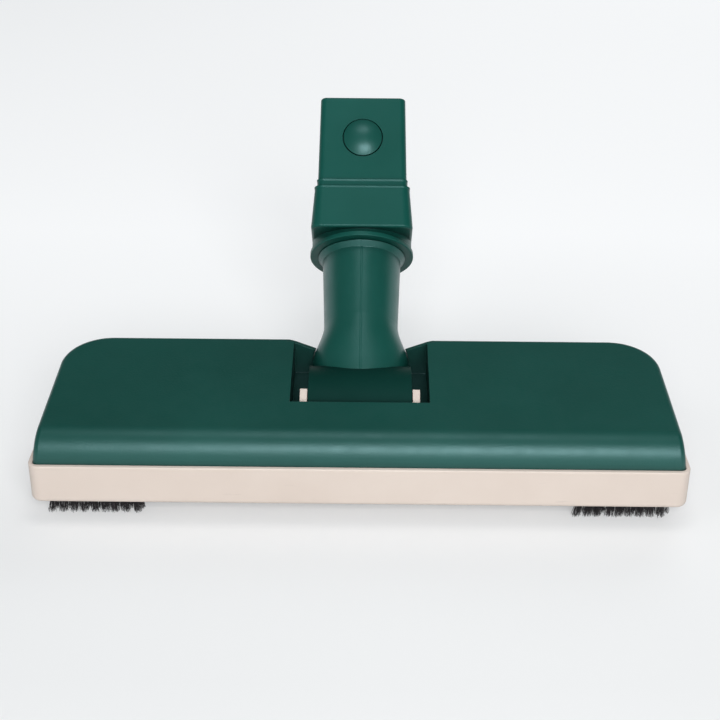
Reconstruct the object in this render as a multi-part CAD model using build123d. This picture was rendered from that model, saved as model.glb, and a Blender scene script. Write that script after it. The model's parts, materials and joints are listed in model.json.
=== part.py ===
"""Vacuum floor brush head: wedge housing on a pale base, tilting neck, swivelling plug connector.

Millimetres. +X to the right, +Y to the back, +Z up; the floor is z = 0.
"""
import math
import os

from build123d import *

# general walls and fits
wall = 2.4
run_fit = 0.06
press_fit = 0.02
slip_fit = 0.1
swing_gap = 0.4

# base: a tray with an upright rim, standing on bristles and rear wheels
rim_w = 290.0
rim_d = 88.0
rim_h = 19.1
lift = 8.9
side_taper = 1.8
rim_wall = 2.6
corner_front = 5.0
corner_rear = 26.0
sole_t = 2.5
rim_lip = 1.9
rebate = 1.5
ledge_w = 5.4
ledge_t = 2.5
rim_edge = 2.2
lip_edge = 0.6

# housing: drafted wedge shell standing in the rim's rebate
draft = 6.0
top_back_in = 5.5
top_back_z = 46.2
top_slope = 4.2
nose_r = 12.0
edge_r = 2.4

# neck pivot and drum
pivot_y = 54.0
pivot_z = 16.0
drum_r = 28.0
well_half = 24.0
cheek_t = 3.3
cheek_drop = 0.9
slot_half = 31.5
slot_front = 32.6
slot_wall = 2.0
slot_floor_t = 1.6
horn_len = 12.6
hub_r = 4.2
pin_r = 2.0
pin_len = 11.0
pin_head_r = 3.6
pin_head_t = 1.4
drum_back = -43.0
drum_front = 110.0
notch_top_half = 35.4
notch_low_half = 21.0
notch_low_z = 40.2
well_floor_z = 13.4
neck_gap = 0.45

# neck tube
neck_lean = 37.0
tube_r0 = 17.7
tube_r1 = 19.1
fan_low = 29.5
fan_high = 50.5
fan_inset = 0.6
fan_sections = 8
flare_h = 3.2
flare_out = 2.2
journal_r = 17.5
bore_r = 15.25
journal_end = 101.0
flange_r = 20.5
flange_t = 1.6
seal_gap = 1.8
seal_w = 2.0
seal_depth = 1.1

# connector
bend = 8.0
elbow = 88.6
ring_r = 25.2
ring_z = 87.4
ring_t = 2.5
boss_x = 24.3
boss_y = 22.6
socket_end = 99.5
collar_z0 = 6.8
collar_z1 = 28.4
collar_w0 = 49.0
collar_w1 = 45.6
collar_r0 = 5.0
collar_r1 = 4.0
band_w = 43.8
band_z1 = 32.2
bead_h = 1.5
bead_out = 0.4
plug_w0 = 43.0
plug_w1 = 41.4
plug_r = 3.0
plug_end = 75.0
plug_wall = 2.6

# snap button in the plug's front wall
button_z = 53.8
button_r = 9.3
button_gap = 0.5
button_dome = 2.5
button_flange_r = 10.4
button_flange_t = 1.2
pocket_r = 10.6
pocket_wall = 1.9
pocket_depth = 6.0
cap_t = 1.6
cap_ring_h = 1.4
cap_ring_w = 1.0
spring_t = 0.4
spring_w = 6.0
spring_span = 15.0

# suction mouth, brushes, wheels, screws
mouth_half = 112.0
mouth_y0 = 20.0
mouth_y1 = 44.0
mouth_ribs = (40.0, 76.0)
rib_t = 2.4
brush_w = 5.0
brush_back_h = 4.4
brush_back_z = 9.2
root_t = 0.6
groove_cover = 1.8
front_brush = (rim_w / 2 - 50.5, rim_w / 2 - 5.5, 8.0)
rear_brush = (37.0, 133.0, 50.5)
tuft_pitch = 4.5
tuft_root_r = 0.95
tuft_tip_r = 1.55
wheel_x = 70.0
wheel_back = 12.5
wheel_r = 12.0
wheel_w = 9.0
axle_r = 1.5
well_gap = 1.2
well_wall = 1.8
screw_spots = ((56.0, 14.2), (124.0, 33.0), (104.0, rim_d - 17.0))
screw_r = 1.6
screw_head_r = 3.3
screw_head_t = 2.2
screw_len = 11.0
screw_boss_r = 3.6
screw_pad_r = 4.6
pad_h = 4.5

rim_top = lift + rim_h
sole_top = lift + sole_t
seat_z = rim_top - rebate
top_tan = math.tan(math.radians(top_slope))
draft_tan = math.tan(math.radians(draft))
cheek_r = drum_r - cheek_drop
drum_half = well_half - swing_gap
lug_out = well_half + cheek_t
tube_top = ring_z - swing_gap
flange_z = ring_z + ring_t + swing_gap
seal_z = flange_z + flange_t + seal_gap
top_back_y = rim_d - top_back_in
wheel_y = rim_d - wheel_back


def box(x0, x1, y0, y1, z0, z1):
    return Pos((x0 + x1) / 2, (y0 + y1) / 2, (z0 + z1) / 2) * Box(x1 - x0, y1 - y0, z1 - z0)


def pair(right):
    """The same piece on the right and, mirrored, on the left."""
    return right + mirror(right, about=Plane.YZ)


def tube_x(r, x0, x1, y, z):
    """Round bar along X."""
    return Pos((x0 + x1) / 2, y, z) * Rot(0, 90, 0) * Cylinder(r, abs(x1 - x0))


def bar_z(r, z0, z1, x=0.0, y=0.0):
    return Pos(x, y, (z0 + z1) / 2) * Cylinder(r, z1 - z0)


def outline(inset, z, front=None, r_front=0.0):
    """Plan of the head at one height, drawn in by inset."""
    y0 = inset if front is None else front
    y1 = rim_d - inset
    lean = math.tan(math.radians(side_taper))
    xf = rim_w / 2 - inset - lean * y0
    xr = rim_w / 2 - inset - lean * y1
    face = make_face(Polyline((-xf, y0), (xf, y0), (xr, y1), (-xr, y1), close=True))
    corners = face.vertices().sort_by(Axis.Y)
    face = fillet(corners[2:], corner_rear - inset)
    if r_front > 0:
        face = fillet(face.vertices().sort_by(Axis.Y)[:2], r_front)
    return Pos(0, 0, z) * face


def slab(inset, z0, z1, r_front):
    return extrude(outline(inset, z0, r_front=r_front), z1 - z0)


def top_z(y, inset):
    return top_back_z - inset / math.cos(math.radians(top_slope)) - (top_back_y - y) * top_tan


def wedge(inset):
    """Solid wedge of the housing, all its faces moved in by inset."""
    z0 = seat_z if inset == 0 else seat_z - 5.0
    zt = top_back_z + 4.0
    foot = slip_fit + rim_lip + inset + (z0 - seat_z) * draft_tan
    body = extrude(outline(foot, z0, front=-8.0), zt - z0, taper=draft)
    ya = foot + (top_back_z - 6.0 - z0) * draft_tan
    corner = ya + (top_z(ya, inset) - top_back_z + 6.0) * draft_tan
    pts = [(foot, z0), (corner, top_z(corner, inset)), (rim_d + 9.0, top_z(rim_d + 9.0, inset))]
    pts.append((rim_d + 9.0, z0))
    face = make_face(Polyline(*pts, close=True))
    tip = face.vertices().sort_by_distance((corner, top_z(corner, inset)))[0]
    face = fillet(tip, nose_r - inset)
    side = extrude(Plane.YZ * face, rim_w / 2, both=True)
    return body & side


def soften(solid):
    """Round the housing's upper edges along the ends and the back."""
    picks = []
    for edge in solid.edges():
        mid = edge @ 0.5
        if mid.Z < seat_z + 0.5:
            continue
        if abs(mid.X) > rim_w / 2 - 12 or mid.Y > rim_d - corner_rear / 2:
            picks.append(edge)
    low_rear = [e for e in picks if abs((e @ 0).Z - (e @ 1).Z) > 12 and (e @ 0.5).Y > 30]
    picks = [e for e in picks if e not in low_rear]
    return fillet(picks, edge_r)


def make_housing():
    outer = soften(wedge(0.0))
    shell = outer - wedge(wall)
    rear = rim_d - rim_lip - wall
    well = box(-slot_half - slot_wall, slot_half + slot_wall, slot_front - slot_wall, rim_d,
               sole_top + swing_gap, 60)
    bosses = [bar_z(screw_boss_r, lift + pad_h, 60, s * x, y) for x, y in screw_spots for s in (1, -1)]
    body = shell + (well & outer)
    for boss in bosses:
        body = body + (boss & outer)
    body = body - box(-slot_half, slot_half, slot_front, rear - 1.6, 0, 60)
    half = lug_out + slip_fit
    body = body - tube_x(drum_r + 2 * swing_gap, -half, half, pivot_y, pivot_z)
    floor = box(half, slot_half + 0.5, slot_front - 0.5, rear - 1, seat_z, seat_z + slot_floor_t)
    floor = floor + box(well_half, half, slot_front + horn_len + swing_gap, rear - 1,
                        seat_z, seat_z + slot_floor_t)
    body = body + pair(floor)
    under = pivot_z + math.sqrt(drum_r ** 2 - (pivot_y - slot_front) ** 2)
    body = body - box(-half, half, slot_front - slot_wall - 1, slot_front + 1, 0, under)
    pts = [(-notch_top_half, 60), (-notch_top_half, top_back_z), (-notch_low_half, notch_low_z)]
    pts += [(-x, z) for x, z in reversed(pts)]
    notch = extrude(Plane.XZ * make_face(Polyline(*pts, close=True)), -rim_d - 10)
    back = box(-60, 60, rear - 3.0, rim_d + 9, 0, 80)
    body = body - (notch & back) - (neck_room() & back)
    for x, y in screw_spots:
        for s in (1, -1):
            body = body - bar_z(screw_r + press_fit, lift, lift + pad_h + screw_len, s * x, y)
    return body


def make_base():
    tray = slab(0.0, lift, rim_top, corner_front)
    low = tray.faces().sort_by(Axis.Z)[0].edges()
    tray = fillet(low, rim_edge)
    tray = fillet(tray.faces().sort_by(Axis.Z)[-1].edges(), lip_edge)
    tray = tray - slab(rim_wall, sole_top, seat_z - ledge_t, corner_front - rim_wall)
    tray = tray - slab(ledge_w, sole_top, seat_z + 1, 1.0)
    tray = tray - slab(rim_lip, seat_z, rim_top + 1, edge_r)
    tray = tray - box(-mouth_half, mouth_half, mouth_y0, mouth_y1, 0, sole_top + 1)
    for x in mouth_ribs:
        tray = tray + pair(box(x - rib_t / 2, x + rib_t / 2, mouth_y0, mouth_y1, lift + 1, sole_top))
    lug = tube_x(cheek_r, well_half, lug_out, pivot_y, pivot_z)
    keep = box(0, 60, 0, rim_d - rim_wall, lift, seat_z) + box(0, 60, 0, slot_front + horn_len, lift, 60)
    tray = tray + pair(lug & keep)
    y0 = slot_front - slot_wall
    shelf = box(well_half + 1, slot_half + slot_wall, y0, rim_d - rim_wall, seat_z - ledge_t, seat_z)
    shelf = shelf + box(slot_half, slot_half + slot_wall, y0, rim_d - rim_wall, lift, seat_z)
    tray = tray + pair(shelf)
    for x0, x1, y in (front_brush, rear_brush):
        h = brush_back_z + brush_back_h + groove_cover
        w = brush_w / 2 + groove_cover
        tray = tray + pair(box(x0 - groove_cover, x1 + groove_cover, y - w, y + w, sole_top, h))
    well_x = wheel_w / 2 + well_gap
    well_y = wheel_r + well_gap
    well_z = 2 * wheel_r + well_gap
    grip = well_x + well_wall
    tray = tray + pair(box(wheel_x - grip, wheel_x + grip, wheel_y - well_y - well_wall, rim_d - rim_wall,
                           sole_top, seat_z))
    tray = tray - pair(box(wheel_x - well_x, wheel_x + well_x, wheel_y - well_y, rim_d + 9, 0, well_z))
    tray = tray - pair(tube_x(axle_r + press_fit, wheel_x - grip, wheel_x + grip, wheel_y, wheel_r))
    for x0, x1, y in (front_brush, rear_brush):
        tray = tray - pair(box(x0, x1, y - brush_w / 2, y + brush_w / 2, 0, brush_back_z + brush_back_h))
    for x, y in screw_spots:
        for s in (1, -1):
            tray = tray + bar_z(screw_pad_r, lift, lift + pad_h, s * x, y)
            tray = tray - bar_z(screw_head_r + slip_fit, 0, lift + screw_head_t + 0.4, s * x, y)
            tray = tray - bar_z(screw_r + 0.2, 0, lift + pad_h + 1, s * x, y)
    tray = tray - tube_x(pin_r + press_fit, -60, 60, pivot_y, pivot_z)
    head = pin_head_r + slip_fit
    tray = tray - pair(tube_x(head, lug_out, lug_out + pin_head_t + slip_fit, pivot_y, pivot_z))
    edge = rim_d - ledge_w
    tray = tray - box(-well_half, well_half, pivot_y + 10, edge, well_floor_z, 60)
    return tray - (neck_room() & box(-60, 60, edge, rim_d + 9, 0, 80))


lean = Location(Plane(origin=(0, pivot_y, pivot_z), x_dir=(1, 0, 0),
                      z_dir=(0, math.cos(math.radians(neck_lean)), math.sin(math.radians(neck_lean)))))
plug_frame = Pos(0, 0, elbow) * Rot(bend, 0, 0)


def sector(r, half, a0, a1):
    """Part of a round bar along X between two angles from the neck's axis towards its front."""
    pts = [(0.0, 0.0)]
    steps = 5
    for i in range(steps + 1):
        a = math.radians(a0 + (a1 - a0) * i / steps)
        pts.append((-2 * r * math.sin(a), 2 * r * math.cos(a)))
    cut = extrude(Plane.YZ * make_face(Polyline(*pts, close=True)), half, both=True)
    return tube_x(r, -half, half, 0, 0) & cut


def rounded(w, d, r, z):
    return Pos(0, 0, z) * RectangleRounded(w, d, r)


def fan(r, half, start):
    """Oval bar out of the drum that draws in to a round one of radius r."""
    low = extrude(Pos(0, 0, start) * Ellipse(half, r), fan_low - start)
    stack = []
    for i in range(fan_sections):
        t = i / fan_sections
        x = r + (half - r) * (1 + math.cos(math.pi * t)) / 2
        stack.append(Pos(0, 0, fan_low + (fan_high - fan_low) * t) * Ellipse(x, r))
    stack.append(Pos(0, 0, fan_high) * Circle(r))
    return low + loft(stack)


def neck_room():
    """Space that the neck needs at the back: its own form with a gap, open upwards for its swing."""
    half = drum_half - fan_inset + neck_gap
    r = tube_r0 + neck_gap
    side = [(half, 0.0)]
    for i in range(fan_sections + 1):
        t = i / fan_sections
        x = r + (half - r) * (1 + math.cos(math.pi * t)) / 2
        side.append((x, fan_low + (fan_high - fan_low) * t))
    side.append((r, 2 * fan_high))
    pts = side + [(-x, z) for x, z in reversed(side)]
    above = extrude(Plane.XZ * make_face(Polyline(*pts, close=True)), 3 * drum_r)
    return lean * (fan(r, half, 0.0) + bar_z(r, fan_high, 2 * fan_high) + above)


def make_neck():
    body = sector(drum_r, drum_half, drum_back, drum_front)
    half = drum_half - fan_inset
    cone = Pos(0, 0, (fan_high + tube_top) / 2) * Cone(tube_r0, tube_r1, tube_top - fan_high)
    flare = Pos(0, 0, tube_top - flare_h / 2) * Cone(tube_r0 + 0.5, tube_r1 + flare_out, flare_h)
    body = body + (fan(tube_r0, half, 19.0) + cone + flare) + bar_z(journal_r, tube_top, journal_end)
    body = body + bar_z(flange_r, flange_z, flange_z + flange_t)
    inside = sector(drum_r - wall, drum_half - wall, drum_back, drum_front + 25)
    back = Rot(-drum_back, 0, 0) * box(-60, 60, -wall, 2.0, -3, 60)
    inside = inside - back
    bore = fan(bore_r, half - tube_r0 + bore_r, 19.6) + bar_z(bore_r, fan_high, journal_end + 1)
    body = body - inside - bore
    body = body + tube_x(hub_r, -drum_half, drum_half, 0, 0)
    for s in (1, -1):
        body = body - tube_x(pin_r + run_fit, s * (drum_half - pin_len), s * (drum_half + 1), 0, 0)
    groove = bar_z(journal_r + 1, seal_z, seal_z + seal_w)
    groove = groove - bar_z(journal_r - seal_depth, seal_z, seal_z + seal_w)
    return body - groove


def make_swivel_seal():
    ring = bar_z(journal_r + run_fit / 2, seal_z + 0.05, seal_z + seal_w - 0.05)
    return ring - bar_z(journal_r - seal_depth + press_fit, seal_z, seal_z + seal_w)


def make_swivel_ring():
    ring = bar_z(ring_r, ring_z, ring_z + ring_t)
    ring = fillet(ring.edges().filter_by(GeomType.CIRCLE), 0.2 * ring_t)
    return ring - bar_z(journal_r + run_fit, ring_z - 1, ring_z + ring_t + 1)


def square_loft(w0, w1, r0, r1, z0, z1):
    return loft([rounded(w0, w0, r0, z0), rounded(w1, w1, r1, z1)], ruled=True)


def plug_half(z):
    """Half width of the plug at a height."""
    return (plug_w0 + (plug_w1 - plug_w0) * (z - collar_z1) / (plug_end - collar_z1)) / 2


def make_connector():
    collar = square_loft(collar_w0, collar_w1, collar_r0, collar_r1, collar_z0, collar_z1)
    collar = fillet(collar.faces().sort_by(Axis.Z)[0].edges(), 1.2)
    bead = square_loft(collar_w1, collar_w1 + 2 * bead_out, collar_r1, collar_r1,
                       collar_z1 - bead_h, collar_z1)
    collar = collar + fillet(bead.faces().sort_by(Axis.Z)[-1].edges(), 0.3)
    inset = band_w - bead_out
    band = extrude(rounded(inset, inset, plug_r, collar_z1 - 2), band_z1 - collar_z1 + 1)
    bead = square_loft(band_w - 1.5 * bead_out, band_w + bead_out, plug_r, plug_r, band_z1 - bead_h, band_z1)
    band = band + fillet(bead.faces().sort_by(Axis.Z)[-1].edges(), 0.3)
    plug = square_loft(plug_w0, plug_w1, plug_r, plug_r, collar_z1, plug_end)
    plug = fillet(plug.faces().sort_by(Axis.Z)[-1].edges(), 1.0)
    body = plug_frame * (collar + band + plug)
    floor = collar_z0 + plug_wall
    boss = extrude(Pos(0, 0, ring_z + ring_t) * Ellipse(boss_x, boss_y), socket_end + 4 - ring_z - ring_t)
    body = body + (boss - plug_frame * box(-40, 40, -40, 40, floor, 60))
    w0 = collar_w0 - 2 * plug_wall
    w1 = collar_w1 - 2 * plug_wall
    inner = square_loft(w0, w1, collar_r0 - 2, collar_r1 - 2, floor, collar_z1 - plug_wall)
    w0 = plug_w0 - 2 * plug_wall
    w1 = plug_w1 - 2 * plug_wall
    duct = square_loft(w0, w1, 1.0, 1.0, floor, plug_end)
    mouth = extrude(rounded(w1, w1, 1.0, plug_end - 0.01), 2)
    hollow = plug_frame * (inner + duct + mouth)
    body = body - (hollow - bar_z(journal_r + plug_wall, ring_z, socket_end))
    body = body - bar_z(journal_r + run_fit, ring_z, journal_end + 2)
    body = body - bar_z(flange_r + swing_gap, ring_z, flange_z + flange_t + swing_gap)
    pocket = bar_z(pocket_r + pocket_wall, -plug_wall - pocket_depth, -plug_wall + 0.6)
    body = body + button_frame * pocket
    hole = bar_z(pocket_r, -plug_wall - pocket_depth - 1, -plug_wall)
    hole = hole + bar_z(button_r + button_gap, -plug_wall - 1, 3)
    return body - button_frame * hole


button_frame = plug_frame * Pos(0, -plug_half(button_z), button_z) * Rot(90, 0, 0)


def make_button():
    ball = (button_r ** 2 + button_dome ** 2) / (2 * button_dome)
    back = -plug_wall - 0.1 - button_flange_t
    step = back + button_flange_t
    arc = [(r, 0.2 + button_dome - ball + math.sqrt(ball ** 2 - r ** 2))
           for r in (button_r, button_r / 2, 0.4)]
    side = Polyline(arc[-1], (0, arc[-1][1]), (0, back), (button_flange_r, back), (button_flange_r, step),
                    (button_r, step), arc[0])
    return revolve(Plane.XZ * make_face(ThreePointArc(*arc) + side), Axis.Z)


def make_cap():
    z = -plug_wall - pocket_depth
    cap = bar_z(pocket_r + pocket_wall, z - cap_t, z)
    ring = bar_z(pocket_r - press_fit, z, z + cap_ring_h) - bar_z(pocket_r - cap_ring_w, z, z + cap_ring_h)
    return cap + ring


def make_spring():
    z0 = -plug_wall - pocket_depth
    z1 = -plug_wall - 0.1 - button_flange_t
    rise = z1 - z0
    r = ((spring_span / 2) ** 2 + rise ** 2) / (2 * rise)
    arch = tube_x(r, -spring_w / 2, spring_w / 2, 0, z1 - r) - tube_x(r - spring_t, -9, 9, 0, z1 - r)
    return arch & box(-9, 9, -spring_span, spring_span, z0, z1 + 1)


def make_brush_back(spec):
    x0, x1, y = spec
    w = brush_w / 2 - press_fit
    return box(x0 + press_fit, x1 - press_fit, y - w, y + w, brush_back_z, brush_back_z + brush_back_h)


def make_tufts(spec):
    """Bristle tufts in two staggered rows on a thin root strip."""
    x0, x1, y = spec
    w = brush_w / 2 - 0.3
    body = box(x0 + 0.3, x1 - 0.3, y - w, y + w, brush_back_z - root_t, brush_back_z)
    count = int((x1 - x0 - 2 * tuft_tip_r) / tuft_pitch)
    start = (x0 + x1 - (count - 0.5) * tuft_pitch) / 2
    tufts = []
    for i in range(count):
        for row, side in ((0.0, -1.15), (0.5, 1.15)):
            x = start + (i + row) * tuft_pitch
            root = Pos(x, y + side, brush_back_z - root_t / 2) * RegularPolygon(tuft_root_r, 6)
            tip = Pos(x, y + 1.25 * side, 0) * RegularPolygon(tuft_tip_r, 6)
            tufts.append(loft([root, tip], ruled=True))
    return body + tufts


def make_wheel():
    body = tube_x(wheel_r, wheel_x - wheel_w / 2, wheel_x + wheel_w / 2, wheel_y, wheel_r)
    body = fillet(body.edges().filter_by(GeomType.CIRCLE), 1.2)
    for s in (1, -1):
        x = wheel_x + s * wheel_w / 2
        dish = tube_x(wheel_r - 3.0, x - s * 1.6, x + s, wheel_y, wheel_r)
        body = body - (dish - tube_x(axle_r + 2.2, x - s * 3, x + s * 2, wheel_y, wheel_r))
    return body - tube_x(axle_r + run_fit, wheel_x - wheel_w, wheel_x + wheel_w, wheel_y, wheel_r)


def make_axle():
    half = wheel_w / 2 + well_gap + well_wall
    return tube_x(axle_r, wheel_x - half, wheel_x + half, wheel_y, wheel_r)


def make_pin():
    return (tube_x(pin_r, drum_half - pin_len + 0.5, lug_out, pivot_y, pivot_z)
            + tube_x(pin_head_r, lug_out, lug_out + pin_head_t, pivot_y, pivot_z))


def make_screws():
    z = lift + 0.4
    out = []
    for x, y in screw_spots:
        for s in (1, -1):
            head = bar_z(screw_head_r, z, z + screw_head_t, s * x, y)
            slot = box(s * x - 2.4, s * x + 2.4, y - 0.5, y + 0.5, z - 1, z + 1.0)
            slot = slot + box(s * x - 0.5, s * x + 0.5, y - 2.4, y + 2.4, z - 1, z + 1.0)
            out.append(head - slot + bar_z(screw_r, z + screw_head_t, z + screw_head_t + screw_len, s * x, y))
    return Compound(children=[s.solids()[0] for s in out])


def left(shape):
    return mirror(shape, about=Plane.YZ)


nodes = {
    "base_frame": make_base(),
    "top_housing": make_housing(),
    "neck": lean * make_neck(),
    "swivel_seal": lean * make_swivel_seal(),
    "swivel_ring": lean * make_swivel_ring(),
    "connector": lean * make_connector(),
    "latch_button": lean * button_frame * make_button(),
    "latch_spring": lean * button_frame * make_spring(),
    "latch_cap": lean * button_frame * make_cap(),
    "pivot_pin_right": make_pin(),
    "pivot_pin_left": left(make_pin()),
    "front_brush_back_right": make_brush_back(front_brush),
    "front_brush_back_left": left(make_brush_back(front_brush)),
    "front_bristles_right": make_tufts(front_brush),
    "front_bristles_left": left(make_tufts(front_brush)),
    "rear_brush_back_right": make_brush_back(rear_brush),
    "rear_brush_back_left": left(make_brush_back(rear_brush)),
    "rear_bristles_right": make_tufts(rear_brush),
    "rear_bristles_left": left(make_tufts(rear_brush)),
    "wheel_right": make_wheel(),
    "wheel_left": left(make_wheel()),
    "axle_right": make_axle(),
    "axle_left": left(make_axle()),
    "housing_screws": make_screws(),
}

# the origin is on the floor, under the middle of the whole part
y_min = min(s.bounding_box().min.Y for s in nodes.values())
y_max = max(s.bounding_box().max.Y for s in nodes.values())
shift = Pos(0, -(y_min + y_max) / 2, 0)

os.makedirs("parts", exist_ok=True)
for name, shape in nodes.items():
    export_step(shift * shape, f"parts/{name}.step")
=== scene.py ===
"""Studio scene for the vacuum floor brush head: finishes, bristles, floor, light and camera. Metres."""

import json
import math
import random

import bpy
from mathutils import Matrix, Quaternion, Vector


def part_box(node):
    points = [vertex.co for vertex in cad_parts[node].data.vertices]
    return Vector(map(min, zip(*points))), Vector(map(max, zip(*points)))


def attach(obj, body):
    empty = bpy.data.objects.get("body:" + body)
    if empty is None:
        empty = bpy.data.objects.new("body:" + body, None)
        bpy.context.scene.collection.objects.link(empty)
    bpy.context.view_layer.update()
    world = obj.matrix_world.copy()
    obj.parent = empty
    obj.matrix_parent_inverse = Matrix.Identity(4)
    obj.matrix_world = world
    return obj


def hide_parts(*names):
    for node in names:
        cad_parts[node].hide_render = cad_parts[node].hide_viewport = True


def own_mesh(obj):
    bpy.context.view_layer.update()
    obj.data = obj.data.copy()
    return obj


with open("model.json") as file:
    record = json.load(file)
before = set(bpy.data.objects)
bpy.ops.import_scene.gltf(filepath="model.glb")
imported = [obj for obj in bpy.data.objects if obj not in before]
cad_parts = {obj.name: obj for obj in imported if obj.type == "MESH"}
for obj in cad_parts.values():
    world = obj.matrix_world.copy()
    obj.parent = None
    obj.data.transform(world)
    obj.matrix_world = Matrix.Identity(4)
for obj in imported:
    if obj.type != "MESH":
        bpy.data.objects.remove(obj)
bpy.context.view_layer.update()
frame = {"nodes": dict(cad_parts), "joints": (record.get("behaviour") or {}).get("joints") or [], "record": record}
nodes = frame["nodes"]
joints = {joint["name"]: joint for joint in frame["joints"]}
scene = bpy.context.scene
scene.view_settings.view_transform = "Standard"
scene.view_settings.look = "None"


class Nodes:
    """A material's or a world's node tree, with short ways to add and join nodes."""

    def __init__(self, owner, shader="Principled BSDF", place="Object"):
        owner.use_nodes = True
        self.owner = owner
        self.tree = owner.node_tree
        self.shader = self.tree.nodes[shader]
        self.place = self.add("ShaderNodeTexCoord").outputs[place]

    def add(self, kind, **values):
        node = self.tree.nodes.new(kind)
        for key, value in values.items():
            setattr(node, key, value)
        return node

    def join(self, source, target):
        self.tree.links.new(source, target)

    def stretch(self, scale):
        node = self.add("ShaderNodeMapping")
        node.inputs["Scale"].default_value = scale
        self.join(self.place, node.inputs["Vector"])
        return node.outputs["Vector"]

    def noise(self, scale, detail, place=None):
        node = self.add("ShaderNodeTexNoise")
        node.inputs["Scale"].default_value = scale
        node.inputs["Detail"].default_value = detail
        self.join(place or self.place, node.inputs["Vector"])
        return node.outputs["Fac"]

    def spread(self, source, low, high, out_low=0.0, out_high=1.0):
        node = self.add("ShaderNodeMapRange")
        for key, value in zip(("From Min", "From Max", "To Min", "To Max"), (low, high, out_low, out_high)):
            node.inputs[key].default_value = value
        self.join(source, node.inputs["Value"])
        return node.outputs["Result"]

    def level(self, noise, out_low=0.0, out_high=1.0):
        """A noise, which lies mostly between 0.3 and 0.7, spread over another range."""
        return self.spread(noise, 0.3, 0.7, out_low, out_high)

    def mix(self, factor, a, b):
        """Colour a where factor is 0 and b where it is 1; either may be a socket."""
        node = self.add("ShaderNodeMix", data_type="RGBA")
        self.join(factor, node.inputs[0])
        for value, socket in ((a, node.inputs[6]), (b, node.inputs[7])):
            if isinstance(value, tuple):
                socket.default_value = (*value, 1.0)
            else:
                self.join(value, socket)
        return node.outputs[2]

    def maths(self, operation, *sources):
        node = self.add("ShaderNodeMath", operation=operation)
        for socket, source in zip(node.inputs, sources):
            self.join(source, socket)
        return node.outputs[0]

    def part(self, letter):
        """One of the place's X, Y and Z."""
        node = self.add("ShaderNodeSeparateXYZ")
        self.join(self.place, node.inputs[0])
        return node.outputs[letter]

    def background(self):
        """1 for the rays that show a background: from the camera, in a reflection or through glass."""
        path = self.add("ShaderNodeLightPath").outputs
        direct = self.maths("MAXIMUM", path["Is Camera Ray"], path["Is Glossy Ray"])
        return self.maths("MAXIMUM", direct, path["Is Transmission Ray"])

    def choose(self, factor, a, b, output):
        """Shader a where factor is 0 and b where it is 1, into the tree's output."""
        node = self.add("ShaderNodeMixShader")
        for socket, source in zip(node.inputs, (factor, a.outputs[0], b.outputs[0])):
            self.join(source, socket)
        self.join(node.outputs[0], self.tree.nodes[output].inputs["Surface"])

    def colour(self, source):
        self.join(source, self.shader.inputs["Base Color"])

    def rough(self, source):
        self.join(source, self.shader.inputs["Roughness"])

    def relief(self, height, depth, edge=0.0):
        """Bump of the given depth, over edges softened by the given radius."""
        bump = self.add("ShaderNodeBump")
        bump.inputs["Strength"].default_value = 1.0
        bump.inputs["Distance"].default_value = depth
        self.join(height, bump.inputs["Height"])
        if edge:
            bevel = self.add("ShaderNodeBevel", samples=4)
            bevel.inputs["Radius"].default_value = edge
            self.join(bevel.outputs["Normal"], bump.inputs["Normal"])
        self.join(bump.outputs["Normal"], self.shader.inputs["Normal"])


def green_plastic(name, dark, light, shine, rough, grain, depth, seam=False):
    """Moulded plastic: clouded colour, painted shade in corners and recesses, fine spark-eroded grain, softened
    edges, and a mould seam along x = 0 where one is asked for."""
    cool_shine = (0.6, 0.95, 1.0, 1.0)
    corner_reach = 0.016
    painted_shade = tuple(0.45 * v for v in dark)
    seam_top = 0.00015
    seam_foot = 0.0006
    seam_height = 2.5
    m = Nodes(bpy.data.materials.new(name))
    m.shader.inputs["Specular IOR Level"].default_value = shine
    m.shader.inputs["Specular Tint"].default_value = cool_shine
    cloud = m.level(m.noise(scale=22.0, detail=4.0))
    # painted shade: the colour is darkened where ambient occlusion finds corners, creases and recesses
    corner = m.add("ShaderNodeAmbientOcclusion", samples=6)
    corner.inputs["Distance"].default_value = corner_reach
    m.colour(m.mix(m.spread(corner.outputs["AO"], 0.35, 0.95), painted_shade, m.mix(cloud, dark, light)))
    m.rough(m.level(m.noise(scale=140.0, detail=3.0), rough - 0.03, rough + 0.04))
    fine = m.noise(scale=grain, detail=2.0)
    if seam:
        ridge = m.spread(m.maths("ABSOLUTE", m.part("X")), seam_top, seam_foot, seam_height, 0.0)
        fine = m.maths("ADD", fine, ridge)
    m.relief(fine, depth, edge=0.0004)
    return m.owner


def cream_plastic():
    """Clouded pale plastic with a few scuffs drawn out along X."""
    dark = (0.70, 0.60, 0.53)
    light = (0.74, 0.645, 0.575)
    scuffed = (0.50, 0.43, 0.38)
    m = Nodes(bpy.data.materials.new("cream_plastic"))
    clean = m.mix(m.level(m.noise(scale=26.0, detail=4.0)), dark, light)
    scuff = m.noise(scale=240.0, detail=5.0, place=m.stretch((0.25, 1.0, 1.6)))
    m.colour(m.mix(m.spread(scuff, 0.66, 0.8, 0.0, 0.35), clean, scuffed))
    m.rough(m.level(m.noise(scale=160.0, detail=3.0), 0.42, 0.5))
    m.relief(m.noise(scale=1500.0, detail=2.0), depth=0.00002, edge=0.0004)
    return m.owner


def bristle_nylon():
    """Black nylon, streaked along the bristles."""
    dark = (0.006, 0.005, 0.006)
    light = (0.03, 0.024, 0.027)
    m = Nodes(bpy.data.materials.new("bristle_nylon"))
    streak = m.noise(scale=900.0, detail=1.0, place=m.stretch((1.0, 1.0, 0.08)))
    m.colour(m.mix(m.spread(streak, 0.35, 0.65), dark, light))
    m.rough(m.level(m.noise(scale=400.0, detail=2.0), 0.4, 0.55))
    m.relief(streak, depth=0.00002)
    return m.owner


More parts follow.
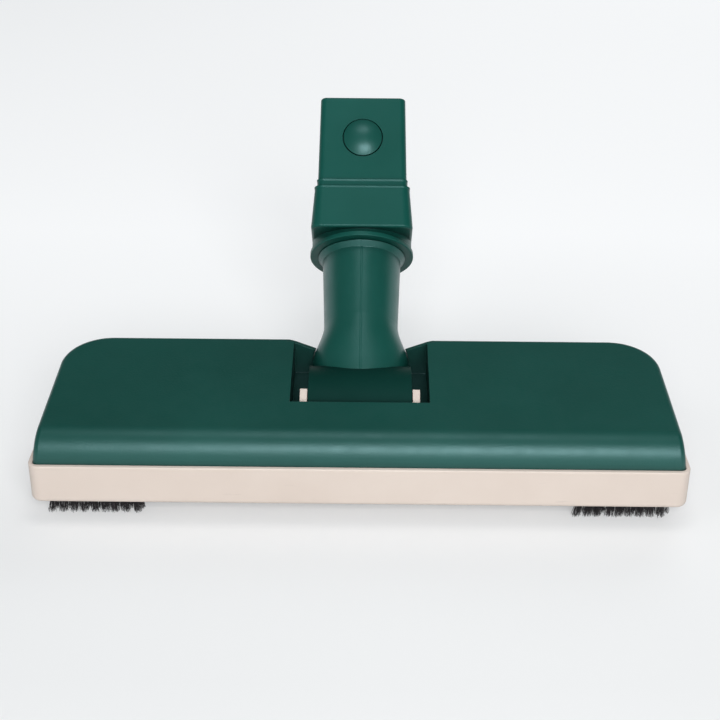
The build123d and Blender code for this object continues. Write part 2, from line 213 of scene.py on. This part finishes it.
def strip_plastic():
    """Black plastic drawn out along X."""
    dark = (0.02, 0.02, 0.021)
    light = (0.035, 0.034, 0.034)
    m = Nodes(bpy.data.materials.new("strip_plastic"))
    drawn = m.noise(scale=500.0, detail=2.0, place=m.stretch((0.05, 1.0, 1.0)))
    m.colour(m.mix(m.level(drawn), dark, light))
    m.rough(m.level(drawn, 0.45, 0.6))
    m.relief(drawn, depth=0.00003, edge=0.0002)
    return m.owner


def felt():
    """Grey fibre felt."""
    dark = (0.14, 0.13, 0.12)
    light = (0.28, 0.265, 0.25)
    m = Nodes(bpy.data.materials.new("felt"))
    fibre = m.noise(scale=1800.0, detail=6.0)
    m.colour(m.mix(m.level(fibre), dark, light))
    m.rough(m.level(fibre, 0.85, 0.98))
    m.relief(fibre, depth=0.0002)
    return m.owner


def steel():
    """Steel with fine marks drawn out along X."""
    dark = (0.46, 0.46, 0.47)
    light = (0.6, 0.6, 0.61)
    m = Nodes(bpy.data.materials.new("turned_steel"))
    m.shader.inputs["Metallic"].default_value = 1.0
    turned = m.noise(scale=1600.0, detail=3.0, place=m.stretch((0.06, 1.0, 1.0)))
    m.colour(m.mix(m.level(turned), dark, light))
    m.rough(m.level(turned, 0.26, 0.42))
    m.relief(turned, depth=0.000008, edge=0.00015)
    return m.owner


def wheel_plastic():
    """Dark plastic with dust on it."""
    clean = (0.045, 0.045, 0.047)
    dusty = (0.12, 0.115, 0.108)
    m = Nodes(bpy.data.materials.new("wheel_plastic"))
    dust = m.spread(m.noise(scale=130.0, detail=5.0), 0.5, 0.75, 0.0, 0.5)
    m.colour(m.mix(dust, clean, dusty))
    m.rough(m.level(m.noise(scale=200.0, detail=3.0), 0.5, 0.66))
    m.relief(m.noise(scale=1200.0, detail=2.0), depth=0.00003, edge=0.0003)
    return m.owner


housing_greens = (0.0034, 0.056, 0.0425), (0.0050, 0.067, 0.0515)
neck_greens = (0.005, 0.072, 0.055), (0.007, 0.084, 0.066)
# the drum's darker greens are painted shade of the slot it turns in
drum_shade_greens = (0.0022, 0.030, 0.023), (0.003, 0.036, 0.028)
finishes = {
    "housing_plastic": green_plastic("housing_plastic", *housing_greens, shine=0.78, rough=0.43,
                                     grain=1000.0, depth=0.00006),
    "neck_plastic": green_plastic("neck_plastic", *neck_greens, shine=0.3, rough=0.38,
                                  grain=1700.0, depth=0.00003),
    "button_plastic": green_plastic("button_plastic", *neck_greens, shine=0.6, rough=0.36,
                                    grain=1700.0, depth=0.00002),
    "base_plastic": cream_plastic(),
    "bristle": bristle_nylon(),
    "brush_back": strip_plastic(),
    "felt": felt(),
    "wheel_plastic": wheel_plastic(),
    "steel": steel(),
}

for part in frame["record"]["subparts"]:
    obj = nodes[part["node"]]
    obj.data.materials.clear()
    obj.data.materials.append(finishes[part["material_slot"]])


def dress_neck(obj, drum_radius=0.028, margin=0.0002):
    """A glossy tube with a mould seam; the drum, which rubs in its slot, is dull, and its darker colour is painted
    shade of the slot.
    """
    tube = green_plastic("neck_seamed", *neck_greens, shine=0.85, rough=0.34,
                         grain=1700.0, depth=0.00003, seam=True)
    drum = green_plastic("neck_drum_painted_shade", *drum_shade_greens, shine=0.12, rough=0.5,
                         grain=1700.0, depth=0.00003)
    obj.data.materials.clear()
    obj.data.materials.append(tube)
    obj.data.materials.append(drum)
    pivot = Vector(joints["neck_tilt"]["pos_m"])
    # faces within the drum's radius get the darker material, painted shade
    for polygon in obj.data.polygons:
        away = polygon.center - pivot
        polygon.material_index = int(math.hypot(away.y, away.z) < drum_radius + margin)


dress_neck(nodes["neck"])


def flex_spring(obj):
    """Gives the leaf spring a mesh of its own."""
    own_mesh(obj)


flex_spring(nodes["latch_spring"])

# tufts, as they lie on the CAD strips
tuft_pitch = 0.0045
tuft_tip_r = 0.00155
row_out = 0.00115
root_inset = 0.0003

# strands of one tuft
strands_per_tuft = 44
strand_r = 0.00013
strand_taper = 0.35
strand_bends = (0.0, 0.35, 0.7, 1.0)
golden_angle = 2.39996
foot_r = 0.00085
foot_sink = 0.0003
fan_r = 0.0019
fan_depth = 0.8
row_splay = 0.25
end_lean = 0.0016
tuft_lean = 0.0006
ragged = 0.0003
tip_height = 0.0002
tip_ragged = 0.0004
stray_share = 0.07
stray_fan = 1.5
stray_lift = 0.0008


def tuft_spots(node):
    """Places of the tufts on one strip, from the strip's own box: two staggered rows."""
    low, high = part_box(node)
    length = high.x - low.x + 2 * root_inset
    count = int((length - 2 * tuft_tip_r) / tuft_pitch)
    start = (low.x + high.x - (count - 0.5) * tuft_pitch) / 2
    middle = (low.y + high.y) / 2
    for i in range(count):
        for row, side in ((0.0, -row_out), (0.5, row_out)):
            yield Vector((start + (i + row) * tuft_pitch, middle + side, high.z)), side, i / (count - 1)


def strand(points, verts, faces):
    """A three-sided bristle along some points, thinner towards its tip."""
    thirds_of_a_turn = (0.0, 2.094, 4.189)
    first = len(verts)
    spans = len(points) - 1
    for k, p in enumerate(points):
        r = strand_r * (1 - strand_taper * k / spans)
        for a in thirds_of_a_turn:
            verts.append((p.x + r * math.cos(a), p.y + r * math.sin(a), p.z))
    for k in range(spans):
        for j in range(3):
            a = first + 3 * k + j
            b = first + 3 * k + (j + 1) % 3
            faces.append((a, b, b + 3, a + 3))
    last = first + 3 * spans
    faces.append((last, last + 1, last + 2))


def bristles(node, seed):
    """Fine ragged bristles in place of a strip's plain tufts."""
    rng = random.Random(seed)
    verts = []
    faces = []
    for root, side, along in tuft_spots(node):
        lean = (along - 0.5) * end_lean + rng.uniform(-tuft_lean, tuft_lean)
        for k in range(strands_per_tuft):
            turn = golden_angle * k
            out = math.sqrt((k + 0.5) / strands_per_tuft)
            dx = out * math.cos(turn)
            dy = out * math.sin(turn)
            base = root + Vector((foot_r * dx, foot_r * dy, -foot_sink))
            stray = rng.random() < stray_share
            wide = fan_r * (stray_fan if stray else 1.0)
            tip = Vector((root.x + wide * dx + lean + rng.gauss(0, ragged),
                          root.y + row_splay * side + wide * fan_depth * dy + rng.gauss(0, ragged),
                          tip_height + abs(rng.gauss(0, tip_ragged)) + (stray_lift if stray else 0.0)))
            sag = Vector((rng.gauss(0, ragged), rng.gauss(0, ragged), 0.0))
            points = [base.lerp(tip, t) + sag * math.sin(math.pi * t) for t in strand_bends]
            strand(points, verts, faces)
    mesh = bpy.data.meshes.new(node + "_strands")
    mesh.from_pydata(verts, [], faces)
    mesh.materials.append(finishes["bristle"])
    for polygon in mesh.polygons:
        polygon.use_smooth = True
    obj = bpy.data.objects.new(node + "_strands", mesh)
    scene.collection.objects.link(obj)
    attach(obj, "head")
    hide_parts(node)


first_seed = 11
for number, node in enumerate(("front_bristles_left", "front_bristles_right",
                               "rear_bristles_left", "rear_bristles_right")):
    bristles(node, first_seed + number)


def pale_floor():
    """Flat pale floor, brighter behind the part and far away, seen through from below."""
    half = 20.0
    floor_z = -0.0003
    dark = (0.60, 0.605, 0.605)
    light = (0.63, 0.635, 0.635)
    glow_colour = (0.97, 0.985, 1.0, 1.0)
    mesh = bpy.data.meshes.new("floor")
    corners = [(-half, -half), (half, -half), (half, half), (-half, half)]
    mesh.from_pydata([(x, y, floor_z) for x, y in corners], [], [(0, 1, 2, 3)])
    floor = bpy.data.objects.new("floor", mesh)
    scene.collection.objects.link(floor)
    m = Nodes(bpy.data.materials.new("floor_paper"))
    m.colour(m.mix(m.level(m.noise(scale=1.2, detail=2.0)), dark, light))
    m.rough(m.level(m.noise(scale=3.0, detail=2.0), 0.9, 1.0))
    m.shader.inputs["Specular IOR Level"].default_value = 0.0
    m.shader.inputs["Emission Color"].default_value = glow_colour
    away = m.add("ShaderNodeVectorMath", operation="LENGTH")
    m.join(m.place, away.inputs[0])
    near = m.spread(m.part("Y"), -0.2, 0.2, 0.24, 0.465)
    far = m.spread(away.outputs["Value"], 0.7, 2.2, 0.2, 0.76)
    glow = m.maths("MAXIMUM", near, far)
    m.join(m.maths("MULTIPLY", m.background(), glow), m.shader.inputs["Emission Strength"])
    below = m.add("ShaderNodeNewGeometry").outputs["Backfacing"]
    m.choose(below, m.shader, m.add("ShaderNodeBsdfTransparent"), "Material Output")
    mesh.materials.append(m.owner)


def towards(azimuth, elevation):
    """Direction from degrees; azimuth 0 is in front, at -Y, and goes round to the right."""
    a = math.radians(azimuth)
    e = math.radians(elevation)
    return Vector((math.sin(a) * math.cos(e), -math.cos(a) * math.cos(e), math.sin(e)))


def lamp(name, azimuth, elevation, distance, width, height, watts, aim=(0.0, 0.0, 0.05), shine=True):
    """Area light that looks at its aim. Shine lets it show in reflections."""
    back = towards(azimuth, elevation)
    data = bpy.data.lights.new(name, "AREA")
    data.shape = "RECTANGLE"
    data.size = width
    data.size_y = height
    data.energy = watts
    obj = bpy.data.objects.new(name, data)
    obj.location = Vector(aim) + back * distance
    obj.rotation_euler = (-back).to_track_quat("-Z", "Y").to_euler()
    obj.visible_glossy = shine
    scene.collection.objects.link(obj)


def surroundings():
    """Pale near the horizon and dark overhead, seen and reflected alike; a soft even fill for the rest."""
    horizon = (0.77, 0.78, 0.785)
    overhead = (0.05, 0.052, 0.055)
    w = Nodes(bpy.data.worlds.new("studio"), "Background", "Generated")
    scene.world = w.owner
    w.shader.inputs["Color"].default_value = (0.9, 0.95, 1.0, 1.0)
    w.shader.inputs["Strength"].default_value = 0.2
    room = w.add("ShaderNodeBackground")
    w.join(w.mix(w.spread(w.part("Z"), 0.1, 0.32), horizon, overhead), room.inputs["Color"])
    w.choose(w.background(), w.shader, room, "World Output")


def picture_camera():
    """Camera at the picture's place: almost straight in front, 30 degrees above the floor,
    a little rolled."""
    target = Vector((0.0, -0.0660, 0.0659))
    distance = 0.6752
    roll = math.radians(0.39)
    back = towards(azimuth=0.3, elevation=30.4)
    data = bpy.data.cameras.new("camera")
    data.sensor_width = 36.0
    data.lens = 76.93
    data.clip_start = 0.01
    data.clip_end = 50.0
    obj = bpy.data.objects.new("camera", data)
    obj.location = target + back * distance
    turn = (-back).to_track_quat("-Z", "Y") @ Quaternion((0.0, 0.0, 1.0), roll)
    obj.rotation_euler = turn.to_euler()
    scene.collection.objects.link(obj)
    scene.camera = obj


pale_floor()
lamp("key", azimuth=6.5, elevation=31.0, distance=1.3, width=0.8, height=0.55, watts=13.8,
     aim=(0.0, -0.03, 0.05))
lamp("top", azimuth=0.0, elevation=91.0, distance=1.2, width=0.45, height=0.3, watts=2.1)
lamp("side", azimuth=-62.0, elevation=40.0, distance=1.8, width=0.9, height=0.9, watts=3.0, shine=False)
lamp("rear", azimuth=155.0, elevation=32.0, distance=1.8, width=1.2, height=0.8, watts=9.0, shine=False)
surroundings()
picture_camera()
